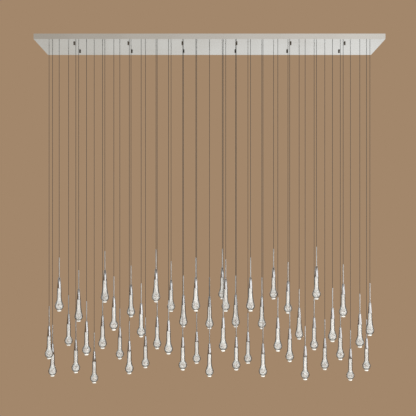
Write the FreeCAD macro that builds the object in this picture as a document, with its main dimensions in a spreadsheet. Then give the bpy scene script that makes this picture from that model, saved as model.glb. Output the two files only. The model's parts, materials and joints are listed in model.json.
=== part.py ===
import FreeCAD, Part
import math
import os

import Sketcher

# A linear crystal chandelier. A slim polished steel canopy tray hangs from two rails on the
# ceiling, and 51 crystal drops hang from the tray on thin cables, in four rows and at staggered
# heights. The origin is on the ceiling, at the middle of the rails' screw pattern. +Z is up, X runs
# along the canopy and the front row is on the -Y side. Lengths are in millimetres.

SIZES = {
    # Canopy tray, with its margins round the outer rows of drops
    "end_margin": 52.9,
    "side_margin": 38.125,
    "canopy_height": 28,
    "sheet_thickness": 1.5,
    # Places of the drops in the tray
    "drop_pitch": 143.6,
    "row_spacing": 76.25,
    "long_row_count": 13,
    "short_row_count": 12,
    "centre_drop_offset": 88,
    # Mounting rails, each a channel that is open downwards
    "rail_end_gap": 18,
    "rail_width": 34,
    "rail_depth": 10,
    "rail_thickness": 2.5,
    "ceiling_hole_radius": 3.25,
    "inner_ceiling_hole_steps": 2,
    "outer_ceiling_hole_steps": 4,
    # Studs in the rails and the nuts on them
    "stud_radius": 2.5,
    "stud_head_radius": 3.9,
    "stud_head_height": 1.2,
    "stud_count": 6,
    "stud_engagement": 6.5,
    "knurled_nut_radius": 5,
    "nut_floor": 2.2,
    "nut_bevel": 0.8,
    # Cable grips, with a round seat for the ball stop
    "grip_radius": 4.5,
    "grip_seat_height": 8,
    "grip_neck_radius": 2.95,
    "cable_clearance": 0.4,
    "ball_radius": 2.5,
    "ball_clearance": 0.1,
    # Cable, ferrule and stem
    "cable_radius": 1.1,
    "cable_stub": 1,
    "ferrule_clearance": 0.2,
    "ferrule_length": 6,
    "stem_radius": 3,
    "stem_wall": 1,
    "stem_length": 111,
    "stem_end_thickness": 3,
    # Cap
    "cap_length": 56,
    "cap_lip": 3,
    "cap_wall": 4.5,
    "stem_socket_depth": 6,
    "wire_channel_radius": 1.5,
    # LED module
    "led_board_thickness": 1.6,
    "led_dome_radius": 1.4,
    "led_slug_height": 10.4,
    "led_slug_step": 1.6,
    "led_gap": 0.6,
    # Crystal drop, where each form's flare takes a share of the height above the bulb's middle
    "crystal_height": 114,
    "neck_radius": 12,
    "neck_taper": 0.8,
    "neck_bevel": 0.8,
    "bulb_radius": 23,
    "base_radius": 11,
    "spigot_radius": 6.3,
    "spigot_length": 8,
    "glue_gap": 0.2,
    "bell_flare_share": 0.53,
    "pear_flare_share": 0.9,
    "ball_flare_share": 0.335,
    # Foot
    "foot_step": 1,
    "foot_height": 8,
    "foot_bevel": 2.2,
    # Slim clearance of a pressed or screwed fit
    "snug": 0.02,
    # LED drivers on the tray's floor
    "driver_length": 230,
    "driver_width": 42,
    "driver_height": 17,
    "driver_cover_length": 22,
    "driver_cover_height": 14,
    "driver_steps": 3,
    "ear_length": 14,
    "ear_thickness": 2,
    # Distribution boards
    "board_length": 190,
    "board_width": 26,
    "board_thickness": 1.6,
    "board_steps": 2,
    "spacer_height": 3,
    "spacer_wall": 1.5,
    "strip_end_gap": 20,
    "strip_width": 10,
    "strip_height": 8,
    # Mains terminal block and earth stud
    "terminal_length": 44,
    "terminal_width": 18,
    "terminal_height": 13,
    "terminal_offset": -60,
    "earth_offset": -130,
    # Weld studs and their nuts
    "weld_stud_radius": 1.5,
    "weld_stud_height": 9,
    "hex_nut_width": 5.5,
    "hex_nut_height": 2.4,
    "fixing_inset": 6,
}

# How far each drop's foot hangs below the tray, from left to right
HANGS = {
    "front": [1420, 1650, 1520, 1555, 1645, 1420, 1630, 1420, 1630, 1780, 1580, 1610],
    "inner_front": [
        1685, 1760, 1630, 1765, 1380, 1745, 1780, 1745, 1780, 1700, 1365, 1460, 1560,
    ],
    "inner_back": [
        1795, 1495, 1390, 1470, 1645, 1525, 1535, 1525, 1535, 1450, 1650, 1705, 1765,
    ],
    "back": [1640, 1850, 1715, 1765, 1450, 1740, 1380, 1740, 1380, 1605, 1775, 1835],
    "centre": [1435],
}

# How many row spacings each row lies behind the tray's middle line
ROW_STEPS = {"front": -1.5, "inner_front": -0.5, "inner_back": 0.5, "back": 1.5, "centre": 0}

# The crystal of each drop, from left to right
FORMS = {"b": "bell", "p": "pear", "o": "ball"}
CRYSTALS = {
    "front": "booobpbpbobb",
    "inner_front": "bobbpobobbbbp",
    "inner_back": "bppbbpbpboobo",
    "back": "oooobobobpbo",
    "centre": "b",
}


class Size:
    """A length that knows its number and how it follows from the sheet's cells."""

    def __init__(self, number, text):
        self.number = number
        self.text = text

    def __add__(self, other):
        other = as_size(other)
        return Size(self.number + other.number, f"({self.text} + {other.text})")

    def __sub__(self, other):
        other = as_size(other)
        return Size(self.number - other.number, f"({self.text} - {other.text})")

    def __mul__(self, other):
        other = as_size(other)
        return Size(self.number * other.number, f"({self.text} * {other.text})")

    def __truediv__(self, other):
        other = as_size(other)
        return Size(self.number / other.number, f"({self.text} / {other.text})")

    def __neg__(self):
        return as_size(0) - self

    def __rsub__(self, other):
        return as_size(other) - self

    __radd__ = __add__
    __rmul__ = __mul__


def as_size(value):
    return value if isinstance(value, Size) else Size(float(value), f"({value})")


def root(value):
    return Size(math.sqrt(value.number), f"sqrt({value.text})")


doc = FreeCAD.newDocument("Chandelier")


# The sheet of driving dimensions
def fill_sheet():
    """Writes every size and every hang into the sheet, and gives each cell its alias."""
    sheet = doc.addObject("Spreadsheet::Sheet", "Sizes")
    rows = dict(SIZES)
    for row, hangs in HANGS.items():
        for number, hang in enumerate(hangs, 1):
            rows[f"hang_{row}_{number:02d}"] = hang
    for line, (alias, value) in enumerate(rows.items(), 1):
        sheet.set(f"A{line}", alias)
        sheet.set(f"B{line}", str(value))
        sheet.setAlias(f"B{line}", alias)
    doc.recompute()
    return {alias: Size(float(value), f"Sizes.{alias}") for alias, value in rows.items()}


size = fill_sheet()


def bind(thing, prop, value):
    """Sets a property to a size, and keeps it tied to the sheet."""
    thing.setExpression(prop, as_size(value).text)


def put(thing, across=0, back=0, up=0):
    """Places an object, with each coordinate tied to the sheet."""
    for axis, value in zip("xyz", (across, back, up)):
        bind(thing, f"Placement.Base.{axis}", value)


def origin_feature(body, role):
    return next(f for f in body.Origin.OriginFeatures if f.Role == role)


# Turned pieces
def arc_edge(low, high, radius, bulges):
    """An arc from one corner up to the next, and which of its ends lies at the lower corner."""
    chord = high - low
    outward = FreeCAD.Vector(chord.y, -chord.x, 0).normalize()
    sagitta = math.sqrt(radius**2 - (chord.Length / 2) ** 2)
    centre = (low + high) * 0.5 + outward * (-sagitta if bulges else sagitta)
    angles = [math.atan2(p.y - centre.y, p.x - centre.x) for p in (low, high)]
    if not bulges:
        angles.reverse()
    circle = Part.Circle(centre, FreeCAD.Vector(0, 0, 1), radius)
    return Part.ArcOfCircle(circle, *angles), 1 if bulges else 2


def fix_corner(sketch, edge, end, radius, height):
    """Ties one corner of an outline to its radius and height."""
    if radius.number == 0:
        sketch.addConstraint(Sketcher.Constraint("PointOnObject", edge, end, -2))
    else:
        held = Sketcher.Constraint("DistanceX", -1, 1, edge, end, radius.number)
        bind(sketch, f"Constraints[{sketch.addConstraint(held)}]", radius)
    if height.number == 0:
        sketch.addConstraint(Sketcher.Constraint("PointOnObject", edge, end, -1))
    else:
        held = Sketcher.Constraint("DistanceY", -1, 1, edge, end, height.number)
        bind(sketch, f"Constraints[{sketch.addConstraint(held)}]", height)


def turned(name, outline):
    """A body turned about its own upright axis.

    The outline goes round the half section against the clock. Each corner is (radius, height), or
    (radius, height, arc radius, bulges) where an arc and not a line leads on to the next corner.
    """
    body = doc.addObject("PartDesign::Body", name)
    sketch = body.newObject("Sketcher::SketchObject", f"{name}_outline")
    sketch.AttachmentSupport = [(origin_feature(body, "XZ_Plane"), "")]
    sketch.MapMode = "FlatFace"
    corners = [(as_size(c[0]), as_size(c[1])) for c in outline]
    ends = []
    for number, corner in enumerate(outline):
        here, there = corners[number], corners[(number + 1) % len(corners)]
        start = FreeCAD.Vector(here[0].number, here[1].number, 0)
        stop = FreeCAD.Vector(there[0].number, there[1].number, 0)
        if len(corner) == 2:
            sketch.addGeometry(Part.LineSegment(start, stop), False)
            ends.append(1)
            continue
        arc, first = arc_edge(start, stop, corner[2].number, corner[3])
        sketch.addGeometry(arc, False)
        held = Sketcher.Constraint("Radius", number, corner[2].number)
        bind(sketch, f"Constraints[{sketch.addConstraint(held)}]", corner[2])
        ends.append(first)
    for number, (radius, height) in enumerate(corners):
        before = number - 1 if number else len(corners) - 1
        meets = Sketcher.Constraint("Coincident", before, 3 - ends[before], number, ends[number])
        sketch.addConstraint(meets)
        fix_corner(sketch, number, ends[number], radius, height)
    turn = body.newObject("PartDesign::Revolution", f"{name}_turned")
    turn.Profile = sketch
    turn.ReferenceAxis = (sketch, ["V_Axis"])
    turn.Angle = 360
    return body


# Blocks, holes and groups
def block(body, name, sizes, place, cuts=False):
    """A box feature of a body: its sizes along X, Y and Z, and its lowest corner."""
    box = body.newObject(f"PartDesign::{'Subtractive' if cuts else 'Additive'}Box", name)
    for prop, value in zip(("Length", "Width", "Height"), sizes):
        bind(box, prop, value)
    put(box, *place)
    return box


def hole(body, name, radius, place, depth):
    """A round hole that goes up from its place."""
    drill = body.newObject("PartDesign::SubtractiveCylinder", name)
    bind(drill, "Radius", radius)
    bind(drill, "Height", depth)
    put(drill, *place)
    return drill


def row_of(body, feature, count, pitch):
    """Repeats a body's feature along X."""
    doc.recompute()
    pattern = body.newObject("PartDesign::LinearPattern", f"{feature.Name}_row")
    pattern.Originals = [feature]
    pattern.Direction = (origin_feature(body, "X_Axis"), [""])
    bind(pattern, "Length", pitch * (count - 1))
    bind(pattern, "Occurrences", count)
    body.Tip = pattern


def middle_at(sizes, across, level):
    """The lowest corner of a block that stands at X on the canopy's middle line."""
    return across - sizes[0] / 2, -sizes[1] / 2, level


def copy_of(piece, name, *place):
    link = doc.addObject("App::Link", name)
    link.LinkedObject = piece
    put(link, *place)
    return link


def group(name, pieces):
    """Pieces that stay separate solids under one name."""
    compound = doc.addObject("Part::Compound", name)
    compound.Links = pieces
    return compound


# Where things are
canopy_length = size["drop_pitch"] * (size["long_row_count"] - 1) + size["end_margin"] * 2
canopy_depth = size["row_spacing"] * 3 + size["side_margin"] * 2
underside = -size["canopy_height"]
floor_top = underside + size["sheet_thickness"]
pivot_height = floor_top + size["grip_seat_height"]
rail_y = size["row_spacing"]
stud_pitch = size["drop_pitch"] * 2
first_stud = -stud_pitch * (size["stud_count"] - 1) / 2
stud_hole_radius = size["stud_radius"] + size["snug"]
fixing_hole_radius = size["weld_stud_radius"] + size["snug"]


def first_drop(row):
    """X of a row's first drop, and how many drops the row has."""
    if row == "centre":
        return size["centre_drop_offset"], as_size(1)
    count = size["long_row_count" if row.startswith("inner") else "short_row_count"]
    return -size["drop_pitch"] * (count - 1) / 2, count


def drop_places():
    """Yields the row, number, X, Y and hang of every drop."""
    for row, hangs in HANGS.items():
        first, _ = first_drop(row)
        back = size["row_spacing"] * ROW_STEPS[row]
        for number in range(1, len(hangs) + 1):
            across = first + size["drop_pitch"] * (number - 1)
            yield row, number, across, back, size[f"hang_{row}_{number:02d}"]


# Canopy tray: folded sheet, open at the top, with a hole for every grip and stud
def make_canopy_tray():
    wall = size["sheet_thickness"]
    tray = doc.addObject("PartDesign::Body", "canopy_tray")
    outside = (canopy_length, canopy_depth, size["canopy_height"])
    block(tray, "tray_outside", outside, middle_at(outside, 0, underside))
    inside = (canopy_length - wall * 2, canopy_depth - wall * 2, size["canopy_height"])
    block(tray, "tray_inside", inside, middle_at(inside, 0, floor_top), cuts=True)
    grip_hole_radius = size["grip_neck_radius"] + size["snug"]
    for row, steps in ROW_STEPS.items():
        first, count = first_drop(row)
        place = (first, size["row_spacing"] * steps, underside)
        grip_hole = hole(tray, f"{row}_grip_hole", grip_hole_radius, place, wall)
        if row != "centre":
            row_of(tray, grip_hole, count, size["drop_pitch"])
    for side, back in (("front", -rail_y), ("back", rail_y)):
        place = (first_stud, back, underside)
        stud_hole = hole(tray, f"{side}_stud_hole", stud_hole_radius, place, wall)
        row_of(tray, stud_hole, size["stud_count"], stud_pitch)
    return tray


# Mounting rails: steel channels against the ceiling, with screw holes and flush stud heads
def make_ceiling_rails():
    length = canopy_length - (size["sheet_thickness"] + size["rail_end_gap"]) * 2
    web = size["rail_thickness"]
    rail = doc.addObject("PartDesign::Body", "rail")
    outside = (length, size["rail_width"], size["rail_depth"])
    block(rail, "rail_outside", outside, middle_at(outside, 0, -size["rail_depth"]))
    hollow = (length, size["rail_width"] - web * 2, size["rail_depth"] - web)
    block(rail, "rail_hollow", hollow, middle_at(hollow, 0, -size["rail_depth"]), cuts=True)
    stud_hole = hole(rail, "stud_hole", stud_hole_radius, (first_stud, 0, -web), web)
    row_of(rail, stud_hole, size["stud_count"], stud_pitch)
    head, tall = size["stud_head_radius"] + size["snug"], size["stud_head_height"]
    stud_seat = hole(rail, "stud_seat", head, (first_stud, 0, -tall), tall)
    row_of(rail, stud_seat, size["stud_count"], stud_pitch)
    for name in ("inner", "outer"):
        offset = size["drop_pitch"] * size[f"{name}_ceiling_hole_steps"]
        for side, across in (("left", -offset), ("right", offset)):
            place = (across, 0, -web)
            hole(rail, f"{name}_{side}_screw_hole", size["ceiling_hole_radius"], place, web)
    return group(
        "ceiling_rails",
        [copy_of(rail, "front_rail", 0, -rail_y), copy_of(rail, "back_rail", 0, rail_y)],
    )


def at_studs(piece, name, level):
    """A copy of a piece at every stud."""
    copies = []
    for side, back in (("front", -rail_y), ("back", rail_y)):
        for number in range(SIZES["stud_count"]):
            across = first_stud + stud_pitch * number
            copies.append(copy_of(piece, f"{side}_{name}_{number + 1}", across, back, level))
    return copies


# Studs: pressed into the rails from above, they reach through the tray's floor
def make_canopy_studs():
    low = underside - size["stud_engagement"]
    shank, head = size["stud_radius"], size["stud_head_radius"]
    neck = -low - size["stud_head_height"]
    stud = turned("stud", [(0, 0), (shank, 0), (shank, neck), (head, neck), (head, -low), (0, -low)])
    return group("canopy_studs", at_studs(stud, "stud", low))


# Knurled nuts: closed below, they hold the tray up with its rim against the ceiling
def make_knurled_nuts():
    wide, bevel, blind = size["knurled_nut_radius"], size["nut_bevel"], size["nut_floor"]
    tall = blind + size["stud_engagement"] + bevel
    nut = turned(
        "knurled_nut",
        [
            (0, 0),
            (wide - bevel, 0),
            (wide, bevel),
            (wide, tall - bevel),
            (wide - bevel, tall),
            (stud_hole_radius, tall),
            (stud_hole_radius, blind),
            (0, blind),
        ],
    )
    return group("knurled_nuts", at_studs(nut, "nut", underside - tall))


# Cable grips: bushes in the tray's floor, with a round seat that a ball stop turns in
def make_cable_grips():
    channel = size["cable_radius"] + size["cable_clearance"]
    seat = size["ball_radius"] + size["ball_clearance"]
    neck, head = size["grip_neck_radius"], size["grip_radius"]
    shoulder = size["sheet_thickness"]
    top = shoulder + size["grip_seat_height"]
    grip = turned(
        "grip",
        [
            (channel, 0),
            (neck, 0),
            (neck, shoulder),
            (head, shoulder),
            (head, top),
            (seat, top, seat, False),
            (channel, top - root(seat * seat - channel * channel)),
        ],
    )
    copies = []
    for row, number, across, back, _ in drop_places():
        copies.append(copy_of(grip, f"grip_{row}_{number:02d}", across, back, underside))
    return group("cable_grips", copies)


# LED drivers: slim cases with an end cover and a fixing ear at both ends
def make_led_drivers():
    length, width = size["driver_length"], size["driver_width"]
    cover, ear = size["driver_cover_length"], size["ear_length"]
    case = doc.addObject("PartDesign::Body", "driver_case")
    case_sizes = (length, width, size["driver_height"])
    block(case, "driver_case_block", case_sizes, middle_at(case_sizes, 0, floor_top))
    cover_sizes = (cover, width, size["driver_cover_height"])
    ear_sizes = (ear, width, size["ear_thickness"])
    pieces = [case]
    for side, turn in (("left", -1), ("right", 1)):
        body = doc.addObject("PartDesign::Body", f"{side}_end_cover")
        across = (length + cover) / 2 * turn
        block(body, f"{side}_cover", cover_sizes, middle_at(cover_sizes, across, floor_top))
        across = (length / 2 + cover + ear / 2) * turn
        block(body, f"{side}_ear", ear_sizes, middle_at(ear_sizes, across, floor_top))
        place = ((length / 2 + cover + size["fixing_inset"]) * turn, 0, floor_top)
        hole(body, f"{side}_ear_hole", fixing_hole_radius, place, size["ear_thickness"])
        pieces.append(body)
    driver = group("driver", pieces)
    offset = size["drop_pitch"] * size["driver_steps"]
    return group(
        "led_drivers",
        [copy_of(driver, "left_driver", -offset), copy_of(driver, "right_driver", offset)],
    )


# Distribution boards: one on each quarter of the tray's floor, with a strip of terminals
def make_distribution_boards():
    length = size["board_length"]
    level = floor_top + size["spacer_height"]
    board = doc.addObject("PartDesign::Body", "board")
    plate = (length, size["board_width"], size["board_thickness"])
    block(board, "board_plate", plate, middle_at(plate, 0, level))
    strip = doc.addObject("PartDesign::Body", "terminal_strip")
    terminals = (length - size["strip_end_gap"] * 2, size["strip_width"], size["strip_height"])
    strip_place = middle_at(terminals, 0, level + size["board_thickness"])
    block(strip, "terminal_strip_block", terminals, strip_place)
    inner, outer = fixing_hole_radius, fixing_hole_radius + size["spacer_wall"]
    tall = size["spacer_height"]
    spacer = turned("spacer", [(inner, 0), (outer, 0), (outer, tall), (inner, tall)])
    pieces = [board, strip]
    for side, turn in (("left", -1), ("right", 1)):
        across = (length / 2 - size["fixing_inset"]) * turn
        place = (across, 0, level)
        hole(board, f"{side}_board_hole", fixing_hole_radius, place, size["board_thickness"])
        pieces.append(copy_of(spacer, f"{side}_spacer", across, 0, floor_top))
    wired_board = group("wired_board", pieces)
    offset = size["drop_pitch"] * size["board_steps"]
    copies = []
    for end, across in (("left", -offset), ("right", offset)):
        for side, back in (("front", -rail_y), ("back", rail_y)):
            copies.append(copy_of(wired_board, f"{side}_{end}_board", across, back))
    return group("distribution_boards", copies)


# Mains terminal block, with a fixing hole at both ends
def make_mains_terminal():
    length, width = size["terminal_length"], size["terminal_width"]
    middle = size["terminal_offset"]
    body = doc.addObject("PartDesign::Body", "mains_terminal_block")
    whole = (length, width, size["terminal_height"])
    block(body, "terminal_body", whole, middle_at(whole, middle, floor_top))
    step = (size["fixing_inset"] * 2, width, size["terminal_height"])
    for side, turn in (("left", -1), ("right", 1)):
        across = middle + (length / 2 - size["fixing_inset"]) * turn
        step_place = middle_at(step, across, floor_top + size["ear_thickness"])
        block(body, f"{side}_step", step, step_place, cuts=True)
        place = (across, 0, floor_top)
        hole(body, f"{side}_terminal_hole", fixing_hole_radius, place, size["ear_thickness"])
    return body


def fixing_places():
    """Yields X, Y and the height over the tray's floor of every hexagon nut's seat."""
    driver_reach = size["driver_length"] / 2 + size["driver_cover_length"] + size["fixing_inset"]
    board_reach = size["board_length"] / 2 - size["fixing_inset"]
    terminal_reach = size["terminal_length"] / 2 - size["fixing_inset"]
    board_top = size["spacer_height"] + size["board_thickness"]
    for end in (-1, 1):
        yield size["terminal_offset"] + terminal_reach * end, 0, size["ear_thickness"]
        for side in (-1, 1):
            across = size["drop_pitch"] * size["driver_steps"] * side + driver_reach * end
            yield across, 0, size["ear_thickness"]
            across = size["drop_pitch"] * size["board_steps"] * side + board_reach * end
            for back in (-rail_y, rail_y):
                yield across, back, board_top
    yield size["earth_offset"], 0, 0


# Weld studs on the tray's floor, each with the hexagon nut that holds a piece down
def make_inside_fixings():
    nut = doc.addObject("PartDesign::Body", "hex_nut")
    prism = nut.newObject("PartDesign::AdditivePrism", "hex_nut_prism")
    prism.Polygon = 6
    bind(prism, "Circumradius", size["hex_nut_width"] / math.sqrt(3))
    bind(prism, "Height", size["hex_nut_height"])
    hole(nut, "hex_nut_hole", fixing_hole_radius, (0, 0, 0), size["hex_nut_height"])
    radius, tall = size["weld_stud_radius"], size["weld_stud_height"]
    weld_stud = turned("weld_stud", [(0, 0), (radius, 0), (radius, tall), (0, tall)])
    copies = []
    for number, (across, back, seat) in enumerate(fixing_places(), 1):
        copies.append(copy_of(weld_stud, f"weld_stud_{number:02d}", across, back, floor_top))
        copies.append(copy_of(nut, f"hex_nut_{number:02d}", across, back, floor_top + seat))
    return group("inside_fixings", copies)


# Ball stop: pressed on the cable's upper end
def make_ball_stop():
    bore, ball = size["cable_radius"] + size["snug"], size["ball_radius"]
    flat = root(ball * ball - bore * bore)
    return turned("ball_stop", [(bore, ball - flat, ball, True), (bore, ball + flat)])


# Ferrule: crimped on the cable's lower end, it carries the stem
def make_ferrule():
    bore, tall = size["cable_radius"] + size["snug"], size["ferrule_length"]
    wide = size["stem_radius"] - size["stem_wall"] - size["ferrule_clearance"]
    return turned("ferrule", [(bore, 0), (wide, 0), (wide, tall), (bore, tall)])


# Stem: a slim tube whose closed top rests on the ferrule
def make_stem():
    outer, inner = size["stem_radius"], size["stem_radius"] - size["stem_wall"]
    bore = size["cable_radius"] + size["snug"]
    top, shelf = size["stem_length"], size["stem_length"] - size["stem_end_thickness"]
    outline = [(inner, 0), (outer, 0), (outer, top), (bore, top), (bore, shelf), (inner, shelf)]
    return turned("stem", outline)


# Inside the cap: the crystal's spigot below, and above it the module, which fills the mouth
mouth_radius = size["spigot_radius"] + size["glue_gap"]
module_height = size["led_dome_radius"] + size["led_board_thickness"] + size["led_slug_height"]
mouth_depth = size["spigot_length"] + size["led_gap"] + module_height


# Cap: a turned cone with a socket for the stem above and a mouth for the crystal below
def make_cap():
    tall, stem = size["cap_length"], size["stem_radius"]
    shelf = tall - size["stem_socket_depth"]
    return turned(
        "cap",
        [
            (mouth_radius, 0),
            (mouth_radius + size["cap_wall"], 0),
            (stem + size["cap_lip"], tall),
            (stem + size["snug"], tall),
            (stem + size["snug"], shelf),
            (size["wire_channel_radius"], shelf),
            (size["wire_channel_radius"], mouth_depth),
            (mouth_radius, mouth_depth),
        ],
    )


# LED module: a round board with its heat slug above, and a lens dome that faces the crystal
def make_led_module():
    dome = size["led_dome_radius"]
    board_top = dome + size["led_board_thickness"]
    board_radius = mouth_radius - size["snug"]
    slug_radius = board_radius - size["led_slug_step"]
    return turned(
        "led_module",
        [
            (0, 0, dome, True),
            (dome, dome),
            (board_radius, dome),
            (board_radius, board_top),
            (slug_radius, board_top),
            (slug_radius, module_height),
            (0, module_height),
        ],
    )


# Crystal drop: solid glass with a slender neck, a hollow flare and a round bulb with a flat base
def make_crystal(form):
    bulb, neck, base = size["bulb_radius"], size["neck_radius"], size["base_radius"]
    top, bevel, brim = size["crystal_height"], size["neck_bevel"], neck - size["neck_taper"]
    middle = root(bulb * bulb - base * base)
    reach = (top - bevel - middle) * size[f"{form}_flare_share"]
    flare = (reach * reach - bulb * bulb + neck * neck) / ((bulb - neck) * 2)
    share = bulb / (bulb + flare)
    spigot, tip = size["spigot_radius"], top + size["spigot_length"]
    return turned(
        f"{form}_crystal",
        [
            (0, 0),
            (base, 0, bulb, True),
            ((neck + flare) * share, middle + reach * share, flare, False),
            (neck, middle + reach),
            (brim, top - bevel),
            (brim - bevel, top),
            (spigot, top),
            (spigot, tip),
            (0, tip),
        ],
    )


# Foot: a frosted glass button bonded to the bulb's flat base
def make_foot():
    wide, tall = size["base_radius"] - size["foot_step"], size["foot_height"]
    bevel = size["foot_bevel"]
    return turned("foot", [(0, 0), (wide - bevel, 0), (wide, bevel), (wide, tall), (0, tall)])


# Heights in a drop, above the underside of its foot
crystal_base = size["foot_height"]
cap_base = crystal_base + size["crystal_height"]
module_base = cap_base + size["spigot_length"] + size["led_gap"]
stem_base = cap_base + size["cap_length"] - size["stem_socket_depth"]
stem_shelf = stem_base + size["stem_length"] - size["stem_end_thickness"]
ferrule_base = stem_shelf - size["ferrule_length"]
cable_end = ferrule_base - size["cable_stub"]


def make_heads():
    """One drop's lower pieces, from the foot up to the ferrule, for each form of crystal."""
    foot, cap, stem = make_foot(), make_cap(), make_stem()
    module, ferrule = make_led_module(), make_ferrule()
    heads = {}
    for letter, form in FORMS.items():
        heads[letter] = group(
            f"{form}_head",
            [
                copy_of(foot, f"{form}_foot"),
                copy_of(make_crystal(form), f"{form}_drop", 0, 0, crystal_base),
                copy_of(cap, f"{form}_cap", 0, 0, cap_base),
                copy_of(module, f"{form}_module", 0, 0, module_base),
                copy_of(stem, f"{form}_stem", 0, 0, stem_base),
                copy_of(ferrule, f"{form}_ferrule", 0, 0, ferrule_base),
            ],
        )
    return heads


# Drops: each hangs by its ball stop from a grip, and swings about the ball's centre
def make_drops():
    heads, ball_stop = make_heads(), make_ball_stop()
    ball_level = pivot_height - size["ball_radius"]
    cable_top = pivot_height + size["ball_radius"] + size["cable_stub"]
    drops = []
    for row, number, across, back, hang in drop_places():
        name = f"drop_{row}" if row == "centre" else f"drop_{row}_{number:02d}"
        foot_level = underside - hang
        head = copy_of(heads[CRYSTALS[row][number - 1]], f"{name}_head", across, back, foot_level)
        ball = copy_of(ball_stop, f"{name}_ball_stop", across, back, ball_level)
        cable = doc.addObject("Part::Cylinder", f"{name}_cable")
        bind(cable, "Radius", size["cable_radius"])
        bind(cable, "Height", cable_top - foot_level - cable_end)
        put(cable, across, back, foot_level + cable_end)
        drops.append(group(name, [ball, cable, head]))
    return drops


nodes = [
    make_canopy_tray(),
    make_ceiling_rails(),
    make_canopy_studs(),
    make_knurled_nuts(),
    make_cable_grips(),
    make_led_drivers(),
    make_distribution_boards(),
    make_mains_terminal(),
    make_inside_fixings(),
    *make_drops(),
]
doc.recompute()

# Checks and export
for thing in doc.Objects:
    if "Invalid" in thing.State or "Error" in thing.State:
        raise RuntimeError(f"{thing.Label} failed: {thing.State}")
for node in nodes:
    if node.Shape.isNull() or not node.Shape.isValid():
        raise RuntimeError(f"{node.Label} has no sound shape")

os.makedirs("parts", exist_ok=True)
for node in nodes:
    node.Shape.exportStep(f"parts/{node.Label}.step")
print(len(nodes), "nodes,", sum(len(node.Shape.Solids) for node in nodes), "solids")
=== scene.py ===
import json
import math

import bpy
import numpy as np
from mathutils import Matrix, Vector


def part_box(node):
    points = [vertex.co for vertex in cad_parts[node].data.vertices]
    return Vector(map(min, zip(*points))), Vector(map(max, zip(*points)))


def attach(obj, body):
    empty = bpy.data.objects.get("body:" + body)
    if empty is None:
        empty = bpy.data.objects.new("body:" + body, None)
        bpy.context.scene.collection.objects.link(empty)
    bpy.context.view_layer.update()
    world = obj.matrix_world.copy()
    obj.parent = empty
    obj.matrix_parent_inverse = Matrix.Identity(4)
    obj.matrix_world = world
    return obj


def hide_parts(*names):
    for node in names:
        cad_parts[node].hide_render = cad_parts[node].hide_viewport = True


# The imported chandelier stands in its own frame: +Z is up, X runs along the canopy, and the ceiling
# is at height 0. Lengths here are in metres, and angles in radians.
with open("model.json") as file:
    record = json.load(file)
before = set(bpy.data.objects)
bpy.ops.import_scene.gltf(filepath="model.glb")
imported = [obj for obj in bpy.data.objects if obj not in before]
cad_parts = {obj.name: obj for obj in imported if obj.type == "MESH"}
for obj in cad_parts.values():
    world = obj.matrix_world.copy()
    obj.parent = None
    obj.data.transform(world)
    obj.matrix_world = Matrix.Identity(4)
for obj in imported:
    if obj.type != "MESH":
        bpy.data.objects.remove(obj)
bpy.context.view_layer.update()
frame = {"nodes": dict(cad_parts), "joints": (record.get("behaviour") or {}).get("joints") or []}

# Viewpoint. The picture is 416 pixels wide. The lens looks level along +Y, about a metre below the
# canopy, and its picture is shifted so that the canopy keeps its place near the upper edge.
PICTURE_WIDTH = 416
FOCAL_PIXELS = 652.0
SENSOR_WIDTH_MM = 36.0
VANISHING_X, VANISHING_Y = 209.5, 232.0
EYE = (0.0, -3.5405, -1.031)

camera_data = bpy.data.cameras.new("viewpoint")
camera_data.sensor_width = SENSOR_WIDTH_MM
camera_data.lens = FOCAL_PIXELS / PICTURE_WIDTH * SENSOR_WIDTH_MM
camera_data.shift_x = 0.5 - VANISHING_X / PICTURE_WIDTH
camera_data.shift_y = VANISHING_Y / PICTURE_WIDTH - 0.5
camera = bpy.data.objects.new("viewpoint", camera_data)
camera.location = EYE
camera.rotation_euler = (math.radians(90), 0.0, 0.0)
bpy.context.scene.collection.objects.link(camera)
bpy.context.scene.camera = camera


# Suspension cables. Each is a thin two-core lead in a smooth dark-grey PVC jacket. Its upper end
# is pressed into a ball stop in the canopy's grip, and its lower end into a ferrule in the stem.
# The weight of the crystal pulls it dead straight.
CABLE_DIAMETER = 0.0022
CABLE_TOP = -0.015
CABLE_END_ABOVE_FOOT = 0.273


def linear(code):
    """An sRGB hex colour as linear red, green, blue and alpha."""
    parts = [int(code[i : i + 2], 16) / 255 for i in (1, 3, 5)]
    return (*[c / 12.92 if c <= 0.04045 else ((c + 0.055) / 1.055) ** 2.4 for c in parts], 1.0)


def new_material(name):
    """An empty node material, and its tree."""
    made = bpy.data.materials.new(name)
    made.use_nodes = True
    made.node_tree.nodes.clear()
    return made, made.node_tree


def add(tree, kind, inputs=None, **settings):
    """Adds a node with its settings, and gives each named input a value or a link."""
    node = tree.nodes.new(f"ShaderNode{kind}")
    for name, value in settings.items():
        setattr(node, name, value)
    for name, value in (inputs or {}).items():
        if isinstance(value, bpy.types.NodeSocket):
            tree.links.new(value, node.inputs[name])
        else:
            node.inputs[name].default_value = value
    return node


def pvc_jacket():
    """Extruded PVC: satin, with faint streaks 1 mm wide where the pigment was drawn out."""
    made, tree = new_material("dark_grey_pvc")
    place = add(tree, "TexCoord").outputs["Object"]
    drawn = add(tree, "Mapping", {"Vector": place, "Scale": (900.0, 900.0, 12.0)})
    streak = add(tree, "TexNoise", {"Vector": drawn.outputs[0], "Scale": 1.0, "Detail": 3.0})
    colour = add(
        tree, "Mix",
        {0: streak.outputs[0], 6: linear("#263136"), 7: linear("#3D494F")}, data_type="RGBA",
    )
    rough = add(tree, "MapRange", {0: streak.outputs[0], 3: 0.55, 4: 0.7})
    skin = add(
        tree, "BsdfPrincipled",
        {"Base Color": colour.outputs[2], "Roughness": rough.outputs[0], "IOR": 1.53,
         "Specular IOR Level": 0.1},
    )
    add(tree, "OutputMaterial", {"Surface": skin.outputs[0]})
    return made


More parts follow.
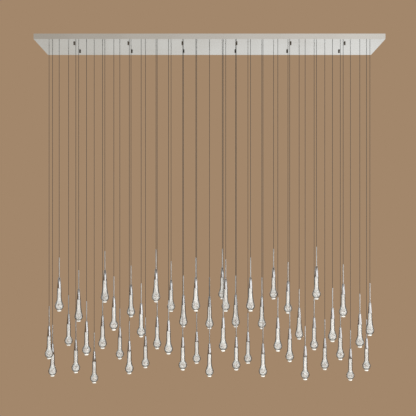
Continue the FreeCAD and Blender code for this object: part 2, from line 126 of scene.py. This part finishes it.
def straight_cable(name, top, bottom, diameter, finish):
    """A round cable: a circle of the diameter carried along the straight line from top to bottom.

    Four points lie along the line, a third of its length apart.
    """
    curve = bpy.data.curves.new(name, "CURVE")
    curve.dimensions = "3D"
    curve.bevel_depth = diameter / 2
    curve.bevel_resolution = 2
    curve.resolution_u = 2
    curve.use_fill_caps = True
    line = curve.splines.new("NURBS")
    points = [top, top.lerp(bottom, 1 / 3), top.lerp(bottom, 2 / 3), bottom]
    line.points.add(len(points) - 1)
    for point, place in zip(line.points, points):
        point.co = (*place, 1.0)
    line.order_u = 3
    line.use_endpoint_u = True
    curve.materials.append(finish)
    piece = bpy.data.objects.new(name, curve)
    bpy.context.scene.collection.objects.link(piece)
    return piece


# One entry for each drop: its body, its place, the upright line that it hangs on, and the level of
# its foot. The lowest foot comes first, so the longest cables come first.
hangs = []
for joint in frame["joints"]:
    body = joint["child"]
    across, back, _ = joint["pos_m"]
    hangs.append((body, body.removeprefix("drop_"), across, back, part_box(body)[0].z))
hangs.sort(key=lambda hang: hang[4])

jacket = pvc_jacket()
for rank, (body, place, across, back, foot_level) in enumerate(hangs):
    top = Vector((across, back, CABLE_TOP))
    bottom = Vector((across, back, foot_level + CABLE_END_ABOVE_FOOT))
    cable = straight_cable(f"cable_{place}", top, bottom, CABLE_DIAMETER, jacket)
    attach(cable, body)
    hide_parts(body)


# Ball stops. A steel ball with bright zinc plate, which is bluish and cloudy, is pressed on the
# upper end of each cable. It turns in the round seat of its grip, so the drop hangs plumb.
BALL_LEVEL = -0.0185
BALL_RADIUS = 0.0025
BALL_RINGS, ROUND_BALL = 10, 20


def arc(middle, radius, start, stop, steps):
    """Points on a circle from one angle to another, in equal steps."""
    angle = np.linspace(start, stop, steps + 1)[:, None]
    return np.asarray(middle) + radius * np.concatenate([np.cos(angle), np.sin(angle)], axis=1)


def turned(name, section, sides, across, back, level, finish, radius_share=None):
    """A turned surface, closed at both poles.

    Every (radius, height) of the section goes round the upright axis in equal steps of angle. The
    radius may be multiplied by radius_share, a function of angle, height and radius over the same
    grid. The attribute along holds each point's height above the drop's foot.
    """
    section = np.asarray(section, float)
    rings = section[1:-1]
    angle = np.arange(sides) * 2 * math.pi / sides
    radius = rings[:, :1] * np.ones(sides)
    height = rings[:, 1:] * np.ones(sides)
    if radius_share is not None:
        radius = radius * radius_share(angle[None, :], height, radius)
    grid = np.stack([radius * np.cos(angle), radius * np.sin(angle), height], axis=-1)
    poles = [[0.0, 0.0, section[0, 1]], [0.0, 0.0, section[-1, 1]]]
    points = np.concatenate([grid.reshape(-1, 3), poles])
    start = np.arange(len(rings) - 1)[:, None] * sides
    here = np.arange(sides)[None, :]
    there = (here + 1) % sides
    walls = np.stack(
        [start + here, start + there, start + sides + there, start + sides + here], axis=-1
    ).reshape(-1, 4)
    here, there = here[0], there[0]
    last = (len(rings) - 1) * sides
    low, high = len(points) - 2, len(points) - 1
    floor = np.stack([np.full(sides, low), there, here], axis=-1)
    roof = np.stack([np.full(sides, high), last + here, last + there], axis=-1)
    mesh = bpy.data.meshes.new(name)
    along = points[:, 2].astype(np.float32)
    points = points + (across, back, level)
    mesh.from_pydata(points.tolist(), [], walls.tolist() + floor.tolist() + roof.tolist())
    mesh.polygons.foreach_set("use_smooth", np.ones(len(mesh.polygons), bool))
    mesh.attributes.new("along", "FLOAT", "POINT").data.foreach_set("value", along)
    mesh.materials.append(finish)
    piece = bpy.data.objects.new(name, mesh)
    bpy.context.scene.collection.objects.link(piece)
    return piece


def zinc_plate():
    """Bright zinc plate: bluish metal with cloudy flakes of 3 to 5 mm."""
    made, tree = new_material("bright_zinc_plate")
    place = add(tree, "TexCoord").outputs["Object"]
    flakes = add(tree, "TexVoronoi", {"Vector": place, "Scale": 250.0})
    tone = add(tree, "SeparateColor", {0: flakes.outputs["Color"]})
    colour = add(
        tree, "Mix",
        {0: tone.outputs[0], 6: linear("#A9AFB6"), 7: linear("#C4C9CE")}, data_type="RGBA",
    )
    rough = add(tree, "MapRange", {0: tone.outputs[0], 3: 0.28, 4: 0.42})
    metal = add(
        tree, "BsdfPrincipled",
        {"Base Color": colour.outputs[2], "Metallic": 1.0, "Roughness": rough.outputs[0]},
    )
    add(tree, "OutputMaterial", {"Surface": metal.outputs[0]})
    return made


ball_section = arc((0, BALL_LEVEL), BALL_RADIUS, -math.pi / 2, math.pi / 2, BALL_RINGS)
zinc_finish = zinc_plate()
for body, place, across, back, _ in hangs:
    ball = turned(f"ball_stop_{place}", ball_section, ROUND_BALL, across, back, 0.0, zinc_finish)
    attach(ball, body)
    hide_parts(body)


# Stems. A slim stainless tube covers each cable's crimped end. Its top is turned in to the cable
# and its foot is bonded in the cap's socket. The satin finish comes from belt grinding round it.
STEM_RADIUS = 0.003
STEM_BOTTOM, STEM_TOP = 0.172, 0.283
STEM_EDGE = 0.0008
ROUND_STEM = 24


def rounded(corners, edges, steps=3):
    """A half section whose corners are eased.

    Each inner corner B with edge e becomes a parabola from A to C, the points that lie e before
    and after B: (1-t)(1-t) A + 2t(1-t) B + tt C, with t from 0 to 1 in equal steps.
    """
    corners = np.asarray(corners, float)
    share = np.linspace(0.0, 1.0, steps + 1)[:, None]
    parts = [corners[:1]]
    for before, corner, after, edge in zip(corners, corners[1:], corners[2:], edges):
        start = corner + (before - corner) * edge / np.linalg.norm(before - corner)
        stop = corner + (after - corner) * edge / np.linalg.norm(after - corner)
        parts.append(
            (1 - share) ** 2 * start + 2 * share * (1 - share) * corner + share**2 * stop
        )
    parts.append(corners[-1:])
    return np.concatenate(parts)


def satin_stainless():
    """Ground stainless tube: fine rings round the tube, 0.15 mm apart, that soften reflections."""
    made, tree = new_material("satin_stainless_tube")
    place = add(tree, "TexCoord").outputs["Object"]
    rings = add(tree, "Mapping", {"Vector": place, "Scale": (40.0, 40.0, 6600.0)})
    grind = add(tree, "TexNoise", {"Vector": rings.outputs[0], "Scale": 1.0, "Detail": 2.0})
    rough = add(tree, "MapRange", {0: grind.outputs[0], 3: 0.3, 4: 0.48})
    bump = add(tree, "Bump", {"Strength": 0.15, "Distance": 0.0001, "Height": grind.outputs[0]})
    metal = add(
        tree, "BsdfPrincipled",
        {"Base Color": linear("#A9ABAD"), "Metallic": 1.0, "Roughness": rough.outputs[0],
         "Normal": bump.outputs[0]},
    )
    add(tree, "OutputMaterial", {"Surface": metal.outputs[0]})
    return made


stem_section = rounded(
    [(0, STEM_BOTTOM), (STEM_RADIUS, STEM_BOTTOM), (STEM_RADIUS, STEM_TOP), (0, STEM_TOP)],
    [STEM_EDGE, STEM_EDGE],
)
stem_finish = satin_stainless()
for body, place, across, back, foot_level in hangs:
    stem = turned(
        f"stem_{place}", stem_section, ROUND_STEM, across, back, foot_level, stem_finish
    )
    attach(stem, body)
    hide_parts(body)


# Caps. Each is a slender cone turned from bar and polished to a mirror. The stem is bonded into
# its narrow end, and the crystal's spigot into its mouth, right under the LED.
CAP_BOTTOM, CAP_TOP = 0.122, 0.178
CAP_BASE_RADIUS, CAP_TOP_RADIUS = 0.011, 0.006
CAP_MOUTH_RADIUS, CAP_MOUTH_TOP = 0.0065, 0.130
CAP_EDGE = 0.0007
ROUND_CAP = 40


def mirror_polish():
    """Black nickel over polished brass: a grey clear mirror, with faint wiping marks 4 mm wide."""
    made, tree = new_material("polished_black_nickel")
    place = add(tree, "TexCoord").outputs["Object"]
    wipe = add(tree, "Mapping", {"Vector": place, "Scale": (260.0, 260.0, 90.0)})
    marks = add(tree, "TexNoise", {"Vector": wipe.outputs[0], "Scale": 1.0, "Detail": 4.0})
    rough = add(tree, "MapRange", {0: marks.outputs[0], 3: 0.08, 4: 0.18})
    colour = add(
        tree, "Mix",
        {0: marks.outputs[0], 6: linear("#989BA0"), 7: linear("#AEB1B5")}, data_type="RGBA",
    )
    metal = add(
        tree, "BsdfPrincipled",
        {"Base Color": colour.outputs[2], "Metallic": 1.0, "Roughness": rough.outputs[0]},
    )
    add(tree, "OutputMaterial", {"Surface": metal.outputs[0]})
    return made


cap_section = rounded(
    [
        (0, CAP_MOUTH_TOP),
        (CAP_MOUTH_RADIUS, CAP_MOUTH_TOP),
        (CAP_MOUTH_RADIUS, CAP_BOTTOM),
        (CAP_BASE_RADIUS, CAP_BOTTOM),
        (CAP_TOP_RADIUS, CAP_TOP),
        (0, CAP_TOP),
    ],
    [CAP_EDGE / 2, CAP_EDGE / 2, CAP_EDGE, CAP_EDGE],
)
cap_finish = mirror_polish()
for body, place, across, back, foot_level in hangs:
    cap = turned(f"cap_{place}", cap_section, ROUND_CAP, across, back, foot_level, cap_finish)
    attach(cap, body)
    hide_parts(body)


# Crystals. Each is a solid drop of clear glass, drawn and shaped hot, with a flat ground base.
# Tiny air seeds in the glass catch the light, most of all in the bulb. Hand work gives three
# outlines: the flare above the bulb is short on a ball, longer on a bell and longest on a pear.
CRYSTAL_BOTTOM, CRYSTAL_SHOULDER, SPIGOT_TOP = 0.008, 0.122, 0.1296
BULB_RADIUS, NECK_RADIUS, BRIM_RADIUS, BASE_RADIUS = 0.023, 0.012, 0.0112, 0.011
SPIGOT_RADIUS = 0.0062
NECK_EDGE = 0.0008
# b is a bell, p a pear and o a ball. A share is how much of the height over the bulb is flare.
FLARE_SHARES = {"b": 0.53, "p": 0.9, "o": 0.335}
CRYSTAL_FORMS = {
    "front": "booobpbpbobb",
    "inner_front": "bobbpobobbbbp",
    "inner_back": "bppbbpbpboobo",
    "back": "oooobobobpbo",
}
CENTRE_FORM = "b"
BULB_RINGS, FLARE_RINGS, ROUND_CRYSTAL = 16, 12, 40
HAND_SHARE = 0.004
TWIST_PER_METRE, RIPPLE_PER_METRE = 40, 210
NEXT_PHASE = 2.4
NECK_FROM, BULB_TO = 0.056, 0.042


def crystal_section(flare_share):
    """Flat base, bulb arc, hollow flare arc that meets it tangent, straight neck and spigot."""
    bulb_level = CRYSTAL_BOTTOM + math.sqrt(BULB_RADIUS**2 - BASE_RADIUS**2)
    reach = (CRYSTAL_SHOULDER - NECK_EDGE - bulb_level) * flare_share
    flare = (reach**2 - BULB_RADIUS**2 + NECK_RADIUS**2) / 2 / (BULB_RADIUS - NECK_RADIUS)
    meet = math.atan2(reach, NECK_RADIUS + flare)
    base = -math.acos(BASE_RADIUS / BULB_RADIUS)
    bulb = arc((0, bulb_level), BULB_RADIUS, base, meet, BULB_RINGS)
    hollow_middle = (NECK_RADIUS + flare, bulb_level + reach)
    hollow = arc(hollow_middle, flare, meet + math.pi, math.pi, FLARE_RINGS)[1:]
    neck = rounded(
        [
            hollow[-1],
            (BRIM_RADIUS, CRYSTAL_SHOULDER),
            (SPIGOT_RADIUS, CRYSTAL_SHOULDER),
            (SPIGOT_RADIUS, SPIGOT_TOP),
            (0, SPIGOT_TOP),
        ],
        [NECK_EDGE, NECK_EDGE / 2, NECK_EDGE / 2],
    )[1:]
    return np.concatenate([[(0, CRYSTAL_BOTTOM)], bulb, hollow, neck])


def drawn_by_hand(phase):
    """How far a crystal is from truly round, as a share of its radius.

    It is slightly oval and the oval twists as it rises: the sine of twice the angle plus a twist.
    A ripple 30 mm long runs up one side: the sine of the height times the cosine of the angle.
    Each is 0.4 percent of the radius at most, and the phase makes no two crystals alike.
    """

    def share(angle, height, radius):
        twist = 2 * angle + TWIST_PER_METRE * height + phase
        ripple = RIPPLE_PER_METRE * height + 1.7 * phase
        oval = HAND_SHARE * np.sin(twist)
        return 1 + oval + HAND_SHARE * np.sin(ripple) * np.cos(angle + phase)

    return share


def seeded_crystal():
    """Seeded glass: clear, IOR 1.52, lit by the LED above it, with seeds that catch the light.

    The seeds stand for clusters of air bubbles. They are streaks 6 mm apart in the neck and round,
    6 mm apart, in the bulb, and they turn the glass milky. Towards its outline the glass turns
    clearer, and its colour darkens to a painted shade that stands for the dark surroundings seen
    through it. The painted shade follows the angle at which the surface is seen, and the glow
    fades there too.
    """
    made, tree = new_material("seeded_crystal_glass")
    place = add(tree, "TexCoord").outputs["Object"]
    along = add(tree, "Attribute", attribute_name="along").outputs["Fac"]
    in_bulb = add(tree, "MapRange", {0: along, 1: NECK_FROM, 2: BULB_TO})
    drawn = add(tree, "Mapping", {"Vector": place, "Scale": (170.0, 170.0, 30.0)})
    streaks = add(tree, "TexNoise", {"Vector": drawn.outputs[0], "Scale": 1.0, "Detail": 2.0})
    streak = add(tree, "MapRange", {0: streaks.outputs[0], 1: 0.3, 2: 0.6, 3: 0.55, 4: 1.0})
    wander = add(tree, "TexNoise", {"Vector": place, "Scale": 90.0, "Detail": 2.0})
    moved = add(
        tree, "VectorMath", {0: wander.outputs["Color"], 1: (0.012, 0.012, 0.012), 2: place},
        operation="MULTIPLY_ADD",
    )
    seeds = add(tree, "TexVoronoi", {"Vector": moved.outputs[0], "Scale": 165.0})
    seed = add(tree, "MapRange", {0: seeds.outputs["Distance"], 1: 0.8, 2: 0.25})
    milk = add(tree, "Mix", {0: in_bulb.outputs[0], 2: streak.outputs[0], 3: seed.outputs[0]})
    # Painted shade: by the angle of view, the colour darkens towards the outline to stand for dark
    # surroundings seen through the glass, and the glow fades there
    edge = add(tree, "LayerWeight", {"Blend": 0.5})
    painted_shade_start = add(tree, "MapRange", {0: in_bulb.outputs[0], 3: 0.1, 4: 0.2})
    painted_shade_end = add(tree, "MapRange", {0: in_bulb.outputs[0], 3: 0.36, 4: 0.5})
    rim = add(
        tree, "MapRange",
        {0: edge.outputs["Facing"], 1: painted_shade_start.outputs[0], 2: painted_shade_end.outputs[0]},
        interpolation_type="SMOOTHSTEP",
    )
    body = add(
        tree, "Mix", {0: milk.outputs[0], 6: linear("#B4B3AE"), 7: linear("#F7F6F2")},
        data_type="RGBA",
    )
    # Painted shade at the outline: the glass colour is mixed to dark grey there
    painted_outline_shade = add(
        tree, "Mix", {0: rim.outputs[0], 6: body.outputs[2], 7: linear("#31302D")},
        data_type="RGBA",
    )
    clear = add(tree, "MapRange", {0: milk.outputs[0], 3: 0.85, 4: 0.42})
    clear = add(tree, "Math", {0: clear.outputs[0], 1: rim.outputs[0]}, operation="MAXIMUM")
    inner = add(tree, "MapRange", {0: rim.outputs[0], 3: 1.0, 4: 0.0})
    lit = add(tree, "MapRange", {0: milk.outputs[0], 3: 0.08, 4: 0.17})
    glow = add(tree, "Math", {0: lit.outputs[0], 1: inner.outputs[0]}, operation="MULTIPLY")
    bump = add(tree, "Bump", {"Strength": 0.35, "Distance": 0.001, "Height": milk.outputs[0]})
    glass = add(
        tree, "BsdfPrincipled",
        {"Base Color": painted_outline_shade.outputs[2], "Roughness": 0.03, "IOR": 1.52,
         "Transmission Weight": clear.outputs[0], "Emission Color": linear("#FAFBFC"),
         "Emission Strength": glow.outputs[0], "Normal": bump.outputs[0]},
    )
    add(tree, "OutputMaterial", {"Surface": glass.outputs[0]})
    return made


def form_of(place):
    """The letter of a drop's outline, from its row and its number in the row."""
    row, _, number = place.rpartition("_")
    return CRYSTAL_FORMS[row][int(number) - 1] if row else CENTRE_FORM


sections = {form: crystal_section(share) for form, share in FLARE_SHARES.items()}
crystal_finish = seeded_crystal()
for rank, (body, place, across, back, foot_level) in enumerate(hangs):
    crystal = turned(
        f"crystal_{place}", sections[form_of(place)], ROUND_CRYSTAL, across, back, foot_level,
        crystal_finish, drawn_by_hand(NEXT_PHASE * rank),
    )
    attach(crystal, body)
    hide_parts(body)


# Feet. A button of frosted glass is bonded to each crystal's flat base. The LED's light leaves the
# drop through it, so it is the brightest spot of the drop.
FOOT_RADIUS, FOOT_HEIGHT = 0.010, 0.008
FOOT_LOW_EDGE, FOOT_HIGH_EDGE = 0.0028, 0.0004
ROUND_FOOT = 36


def lit_frosted_glass():
    """Frosted glass lit from within: white all over. Its grain is drawn 0.7 mm wide to show."""
    made, tree = new_material("lit_frosted_glass")
    place = add(tree, "TexCoord").outputs["Object"]
    frost = add(tree, "TexNoise", {"Vector": place, "Scale": 1500.0, "Detail": 2.0})
    glow = add(tree, "MapRange", {0: frost.outputs[0], 3: 0.16, 4: 0.32})
    bump = add(tree, "Bump", {"Strength": 0.2, "Distance": 0.0002, "Height": frost.outputs[0]})
    glass = add(
        tree, "BsdfPrincipled",
        {"Base Color": linear("#FBF8F2"), "Roughness": 0.55, "Emission Color": linear("#FFF9EE"),
         "Emission Strength": glow.outputs[0], "Normal": bump.outputs[0]},
    )
    add(tree, "OutputMaterial", {"Surface": glass.outputs[0]})
    return made


foot_section = rounded(
    [(0, 0), (FOOT_RADIUS, 0), (FOOT_RADIUS, FOOT_HEIGHT), (0, FOOT_HEIGHT)],
    [FOOT_LOW_EDGE, FOOT_HIGH_EDGE],
)
foot_finish = lit_frosted_glass()
for body, place, across, back, foot_level in hangs:
    foot = turned(f"foot_{place}", foot_section, ROUND_FOOT, across, back, foot_level, foot_finish)
    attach(foot, body)
    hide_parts(body)


# Canopy tray. One sheet of stainless steel, folded up at all four sides, with welded and ground
# corners. Its grain runs along the canopy under a bright polish, so it mirrors softly.
def dress(node, finish):
    """Gives a carried-over piece its finish."""
    slots = frame["nodes"][node].data.materials
    slots.clear()
    slots.append(finish)


def polished_sheet():
    """Polished stainless sheet: lengthwise grain 0.4 mm wide, drawn 2.4 mm wide to show."""
    made, tree = new_material("polished_stainless_sheet")
    place = add(tree, "TexCoord").outputs["Object"]
    grain = add(tree, "Mapping", {"Vector": place, "Scale": (2.5, 420.0, 420.0)})
    lines = add(tree, "TexNoise", {"Vector": grain.outputs[0], "Scale": 1.0, "Detail": 3.0})
    smudge = add(tree, "TexNoise", {"Vector": place, "Scale": 3.0, "Detail": 3.0})
    mixed = add(tree, "Math", {0: lines.outputs[0], 1: smudge.outputs[0]}, operation="ADD")
    rough = add(tree, "MapRange", {0: mixed.outputs[0], 1: 0.6, 2: 1.4, 3: 0.07, 4: 0.16})
    bump = add(tree, "Bump", {"Strength": 0.05, "Distance": 0.0002, "Height": lines.outputs[0]})
    metal = add(
        tree, "BsdfPrincipled",
        {"Base Color": linear("#CED0D0"), "Metallic": 1.0, "Roughness": rough.outputs[0],
         "Normal": bump.outputs[0]},
    )
    add(tree, "OutputMaterial", {"Surface": metal.outputs[0]})
    return made


dress("canopy_tray", polished_sheet())


# Rails, studs and inside fixings. The rails are folded from strip and hold the pressed-in studs.
# All are zinc-plated steel, as the ball stops are.
for node in ("ceiling_rails", "canopy_studs", "inside_fixings"):
    dress(node, zinc_finish)


# Knurled nuts and cable grips. Both are turned from brass and plated with dark nickel. The nuts
# are blind, so their bottoms are whole, and a diamond knurl of 1.6 mm pitch is rolled round them.
NUT_RADIUS, NUT_HEIGHT, NUT_BEVEL = 0.005, 0.0095, 0.0008
NUT_HOLE_RADIUS, NUT_HOLE_BOTTOM = 0.0026, 0.0022
KNURL_DEPTH, KNURL_PITCH, KNURLS_AROUND = 0.00035, 0.00157, 20
POINTS_ON_KNURL, WALL_RINGS = 6, 25
SMALLEST_WALL_RADIUS = NUT_RADIUS - 1e-6
NUTS_IN_ROW = 6


def knurl(angle, height, radius):
    """Cuts a diamond knurl into the wall of the nut.

    Two sets of grooves climb round the wall at 45 degrees, one each way. A set's depth at a point
    is a triangle wave of the turn plus, or minus, the height, both counted in pitches, and the
    deeper of the two counts.
    """
    turn, climb = KNURLS_AROUND * angle / (2 * math.pi), height / KNURL_PITCH
    waves = [np.abs(2 * (phase - np.floor(phase)) - 1) for phase in (turn + climb, turn - climb)]
    groove = KNURL_DEPTH / NUT_RADIUS * np.maximum(*waves)
    return 1 - np.where(radius > SMALLEST_WALL_RADIUS, groove, 0.0)


def dark_nickel():
    """Dark nickel plate on turned brass: warm grey, with turning rings 0.4 mm apart."""
    made, tree = new_material("dark_nickel_plate")
    place = add(tree, "TexCoord").outputs["Object"]
    rings = add(tree, "Mapping", {"Vector": place, "Scale": (200.0, 200.0, 2500.0)})
    cut = add(tree, "TexNoise", {"Vector": rings.outputs[0], "Scale": 1.0, "Detail": 2.0})
    rough = add(tree, "MapRange", {0: cut.outputs[0], 3: 0.22, 4: 0.4})
    metal = add(
        tree, "BsdfPrincipled",
        {"Base Color": linear("#6B6761"), "Metallic": 1.0, "Roughness": rough.outputs[0]},
    )
    add(tree, "OutputMaterial", {"Surface": metal.outputs[0]})
    return made


nickel_finish = dark_nickel()
wall = np.linspace(NUT_BEVEL, NUT_HEIGHT - NUT_BEVEL, WALL_RINGS)
nut_section = np.concatenate([
    [(0, 0), (NUT_RADIUS - NUT_BEVEL, 0)],
    np.stack([np.full(WALL_RINGS, NUT_RADIUS), wall], axis=1),
    [(NUT_RADIUS - NUT_BEVEL, NUT_HEIGHT), (NUT_HOLE_RADIUS, NUT_HEIGHT)],
    [(NUT_HOLE_RADIUS, NUT_HOLE_BOTTOM), (0, NUT_HOLE_BOTTOM)],
])
nuts_low, nuts_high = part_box("knurled_nuts")
for row, back in (("front", nuts_low.y + NUT_RADIUS), ("back", nuts_high.y - NUT_RADIUS)):
    places = np.linspace(nuts_low.x + NUT_RADIUS, nuts_high.x - NUT_RADIUS, NUTS_IN_ROW)
    for number, across in enumerate(places, 1):
        nut = turned(
            f"knurled_nut_{row}_{number}", nut_section, POINTS_ON_KNURL * KNURLS_AROUND, across,
            back, nuts_low.z, nickel_finish, knurl,
        )
        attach(nut, "canopy")
        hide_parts("knurled_nuts")

dress("cable_grips", nickel_finish)


# LED drivers, terminal block and distribution boards. They stand on weld studs on the tray's
# floor. The first two have white moulded cases, and the boards' white solder mask looks alike.
def moulded_white():
    """Moulded white plastic: half matt, with spark-eroded grain half a millimetre wide."""
    made, tree = new_material("moulded_white_plastic")
    place = add(tree, "TexCoord").outputs["Object"]
    grain = add(tree, "TexNoise", {"Vector": place, "Scale": 1800.0, "Detail": 2.0})
    rough = add(tree, "MapRange", {0: grain.outputs[0], 3: 0.4, 4: 0.6})
    bump = add(tree, "Bump", {"Strength": 0.15, "Distance": 0.0001, "Height": grain.outputs[0]})
    plastic = add(
        tree, "BsdfPrincipled",
        {"Base Color": linear("#E6E4DF"), "Roughness": rough.outputs[0], "IOR": 1.5,
         "Normal": bump.outputs[0]},
    )
    add(tree, "OutputMaterial", {"Surface": plastic.outputs[0]})
    return made


white_finish = moulded_white()
for node in ("led_drivers", "mains_terminal_block", "distribution_boards"):
    dress(node, white_finish)


# The set: a plain pale floor that thins out into a plain surround, and soft lamps. The surround is
# tan round the horizon, as behind the photographed light, and pale above and below that. To the
# light that falls on dull surfaces it is an even grey.
FLOOR_LEVEL = -2.75
FLOOR_RADIUS, ROUND_FLOOR = 3.0, 64
FADE_START, FADE_END = 1.2, 2.6
FLOOR_PAINT = "#EDE8DF"
HORIZON_TAN, PALE_SURROUND, EVEN_GREY = "#A3876B", "#DEDAD2", "#AAA9A6"
TAN_TO_HEIGHT, PALE_FROM_HEIGHT = 0.33, 0.62


def pale_floor():
    """A matt painted floor that thins out to nothing far from the middle."""
    made, tree = new_material("pale_floor")
    place = add(tree, "TexCoord").outputs["Object"]
    flat = add(tree, "VectorMath", {0: place, 1: (1.0, 1.0, 0.0)}, operation="MULTIPLY")
    far = add(tree, "VectorMath", {0: flat.outputs[0]}, operation="LENGTH")
    fade = add(
        tree, "MapRange", {0: far.outputs["Value"], 1: FADE_START, 2: FADE_END},
        interpolation_type="SMOOTHSTEP",
    )
    paint = add(tree, "BsdfDiffuse", {"Color": linear(FLOOR_PAINT)})
    gone = add(tree, "BsdfTransparent")
    mixed = add(tree, "MixShader", {0: fade.outputs[0], 1: paint.outputs[0], 2: gone.outputs[0]})
    add(tree, "OutputMaterial", {"Surface": mixed.outputs[0]})
    return made


floor_mesh = bpy.data.meshes.new("floor")
around = np.arange(ROUND_FLOOR) * 2 * math.pi / ROUND_FLOOR
level = np.full(ROUND_FLOOR, FLOOR_LEVEL)
rim = np.stack([FLOOR_RADIUS * np.cos(around), FLOOR_RADIUS * np.sin(around), level], axis=1)
floor_mesh.from_pydata(rim.tolist(), [], [list(range(ROUND_FLOOR))])
floor_mesh.materials.append(pale_floor())
floor = bpy.data.objects.new("floor", floor_mesh)
bpy.context.scene.collection.objects.link(floor)

world = bpy.data.worlds.new("surround")
bpy.context.scene.world = world
world.use_nodes = True
sky = world.node_tree
sky.nodes.clear()
rays = add(sky, "LightPath")
seen = add(
    sky, "Math", {0: rays.outputs["Is Camera Ray"], 1: rays.outputs["Is Glossy Ray"]},
    operation="MAXIMUM",
)
seen = add(
    sky, "Math", {0: seen.outputs[0], 1: rays.outputs["Is Transmission Ray"]}, operation="MAXIMUM"
)
direction = add(sky, "SeparateXYZ", {0: add(sky, "TexCoord").outputs["Generated"]})
height = add(sky, "Math", {0: direction.outputs["Z"]}, operation="ABSOLUTE")
pale = add(
    sky, "MapRange", {0: height.outputs[0], 1: TAN_TO_HEIGHT, 2: PALE_FROM_HEIGHT},
    interpolation_type="SMOOTHSTEP",
)
surround = add(
    sky, "Mix", {0: pale.outputs[0], 6: linear(HORIZON_TAN), 7: linear(PALE_SURROUND)},
    data_type="RGBA",
)
colour = add(
    sky, "Mix", {0: seen.outputs[0], 6: linear(EVEN_GREY), 7: surround.outputs[2]},
    data_type="RGBA",
)
light = add(sky, "Background", {"Color": colour.outputs[2], "Strength": 1.0})
add(sky, "OutputWorld", {"Surface": light.outputs[0]})


def soft_lamp(name, place, aim, width, height, glow, colour):
    """A large softbox: an area lamp that points from its place to its aim.

    glow is how bright its face looks, where 1 is white: the power is glow times pi times the area.
    """
    data = bpy.data.lights.new(name, "AREA")
    data.shape = "RECTANGLE"
    data.size, data.size_y = width, height
    data.energy = glow * math.pi * width * height
    data.color = linear(colour)[:3]
    lamp = bpy.data.objects.new(name, data)
    lamp.location = place
    lamp.rotation_euler = (Vector(aim) - Vector(place)).to_track_quat("-Z", "Y").to_euler()
    lamp.visible_camera = False
    bpy.context.scene.collection.objects.link(lamp)


# The lamps round the canopy are what its steel mirrors from every side, so it looks like steel
DAYLIGHT, WHITE_LIGHT, BLUE_WHITE_LIGHT = "#DBF5FF", "#FCFBF9", "#F5F9FF"
soft_lamp("left_softbox", (-4.0, 0.0, -0.65), (0.0, 0.0, -0.65), 3.4, 0.5, 0.6, DAYLIGHT)
soft_lamp("high_left_softbox", (-5.0, 0.0, 1.4), (0.0, 0.0, 0.0), 4.0, 1.6, 0.5, DAYLIGHT)
soft_lamp("high_right_softbox", (5.0, 0.0, 1.4), (0.0, 0.0, 0.0), 4.0, 1.6, 0.5, DAYLIGHT)
soft_lamp("high_back_softbox", (0.0, 5.0, 1.5), (0.0, 0.0, 0.0), 6.2, 1.6, 0.45, DAYLIGHT)
soft_lamp("top_softbox", (0.0, 0.0, 3.0), (0.0, 0.0, 0.0), 6.0, 3.0, 0.45, WHITE_LIGHT)
soft_lamp("back_softbox", (0.0, 4.0, -1.15), (0.0, 0.0, -1.15), 10.0, 0.7, 0.46, DAYLIGHT)
CORNER_DISTANCE, CORNER_LEVEL = 4.2, -0.2
for corner in ("back_left", "back_right", "front_left", "front_right"):
    across = -CORNER_DISTANCE if "left" in corner else CORNER_DISTANCE
    back = CORNER_DISTANCE if "back" in corner else -CORNER_DISTANCE
    soft_lamp(
        f"{corner}_corner_softbox", (across, back, CORNER_LEVEL), (0.0, 0.0, CORNER_LEVEL),
        3.6, 1.3, 0.5, DAYLIGHT,
    )
soft_lamp("level_softbox", (0.0, -4.0, -0.95), (0.0, 0.0, -0.95), 3.7, 0.5, 0.5, DAYLIGHT)
soft_lamp("front_softbox", (0.0, -5.0, 1.5), (0.0, 0.0, 0.0), 6.2, 1.6, 0.29, DAYLIGHT)

# Graded lamps over the front and back softboxes make the steel brighter towards the right. All end
# at one right edge, and each starts a step further right than the last. Each also stands a little
# behind the last, because a mirror image shows only one of several lamps that lie in one plane.
GRADED_LAMPS = 6
GRADE_RIGHT_EDGE, GRADE_STAGGER = 3.4, 0.05
FRONT_GRADE_START, FRONT_GRADE_STEP = -2.5, 0.7
BACK_GRADE_START, BACK_GRADE_STEP = -2.4, 0.6
for step in range(1, GRADED_LAMPS + 1):
    behind = GRADE_STAGGER * step
    left_edge = FRONT_GRADE_START + FRONT_GRADE_STEP * step
    middle, width = (left_edge + GRADE_RIGHT_EDGE) / 2, GRADE_RIGHT_EDGE - left_edge
    soft_lamp(
        f"front_grade_{step}", (middle, -5.0 - behind, 1.5), (middle, -behind, 0.0),
        width, 1.6, 0.07, WHITE_LIGHT,
    )
    left_edge = BACK_GRADE_START + BACK_GRADE_STEP * step
    middle, width = (left_edge + GRADE_RIGHT_EDGE) / 2, GRADE_RIGHT_EDGE - left_edge
    soft_lamp(
        f"back_grade_{step}", (middle, 4.0 + behind, -1.15), (middle, 0.0, -1.15),
        width, 0.7, 0.057, BLUE_WHITE_LIGHT,
    )

# These two light the drops, from the front and from the right
soft_lamp("low_softbox", (0.2, -1.6, -1.45), (0.2, 0.0, -1.45), 1.6, 1.0, 1.65, WHITE_LIGHT)
soft_lamp("right_softbox", (3.06, -1.24, -1.5), (0.0, 0.0, -1.5), 5.0, 1.4, 2.2, WHITE_LIGHT)

bpy.context.scene.view_settings.view_transform = "Standard"
